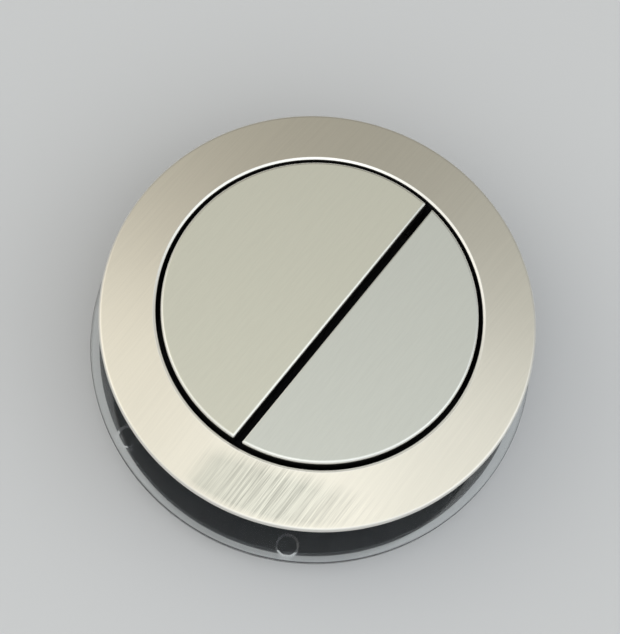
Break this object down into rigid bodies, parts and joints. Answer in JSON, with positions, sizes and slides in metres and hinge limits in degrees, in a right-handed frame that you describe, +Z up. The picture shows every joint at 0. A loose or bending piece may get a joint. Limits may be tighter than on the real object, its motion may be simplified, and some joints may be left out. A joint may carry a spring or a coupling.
{
  "type": "push button cistern actuator",
  "caption": "Round dual-flush push button for a cistern lid: brushed nickel bezel, split satin buttons, sprung stems, threaded shank, clear washer and clamp nut.",
  "frame": {"origin": "centre of the lid hole at the lid's top face, which is the underside of the gasket", "axes": "+Z up along the hole's axis, out of the lid; the slot between the buttons runs along Y, with the full-flush button on -X and the half-flush button on +X"},
  "size_m": [0.078, 0.078, 0.0269],
  "materials": {
    "brushed_nickel": "brushed along the slot",
    "satin_nickel": "satin",
    "black_moulding": "fine moulded texture",
    "nut_moulding": "fine moulded texture",
    "gasket_rubber": "matt",
    "clear_plastic": "clear, polished",
    "spring_steel": "drawn wire"
  },
  "bodies": {
    "housing": {"bezel": "brushed_nickel", "gasket": "gasket_rubber", "body": "black_moulding", "guide_plate": "black_moulding", "full_spring": "spring_steel", "half_spring": "spring_steel"},
    "full_button": {"full_cap": "satin_nickel", "full_carrier": "black_moulding", "full_clip": "spring_steel"},
    "half_button": {"half_cap": "satin_nickel", "half_carrier": "black_moulding", "half_clip": "spring_steel"},
    "washer": {"clear_washer": "clear_plastic"},
    "nut": {"clamp_nut": "nut_moulding"}
  },
  "joints": [
    {"name": "full_press", "type": "slide", "parent": "housing", "child": "full_button", "axis": [0, 0, -1], "range_m": [0, 0.0055], "stiffness_N_per_m": 600, "springref_m": -0.005, "deforming": ["full_spring"]},
    {"name": "half_press", "type": "slide", "parent": "housing", "child": "half_button", "axis": [0, 0, -1], "range_m": [0, 0.0055], "stiffness_N_per_m": 600, "springref_m": -0.005, "deforming": ["half_spring"]},
    {"name": "washer_slide", "type": "slide", "parent": "housing", "child": "washer", "axis": [0, 0, 1], "range_m": [0, 0.0091]},
    {"name": "nut_turn", "type": "hinge", "parent": "washer", "child": "nut", "pos_m": [0, 0, -0.018], "axis": [0, 0, 1], "range_deg": [0, 1080]}
  ],
  "couplings": [
    {"joint": "washer_slide", "follows": "nut_turn", "m_per_rad": 0.00047746}
  ]
}
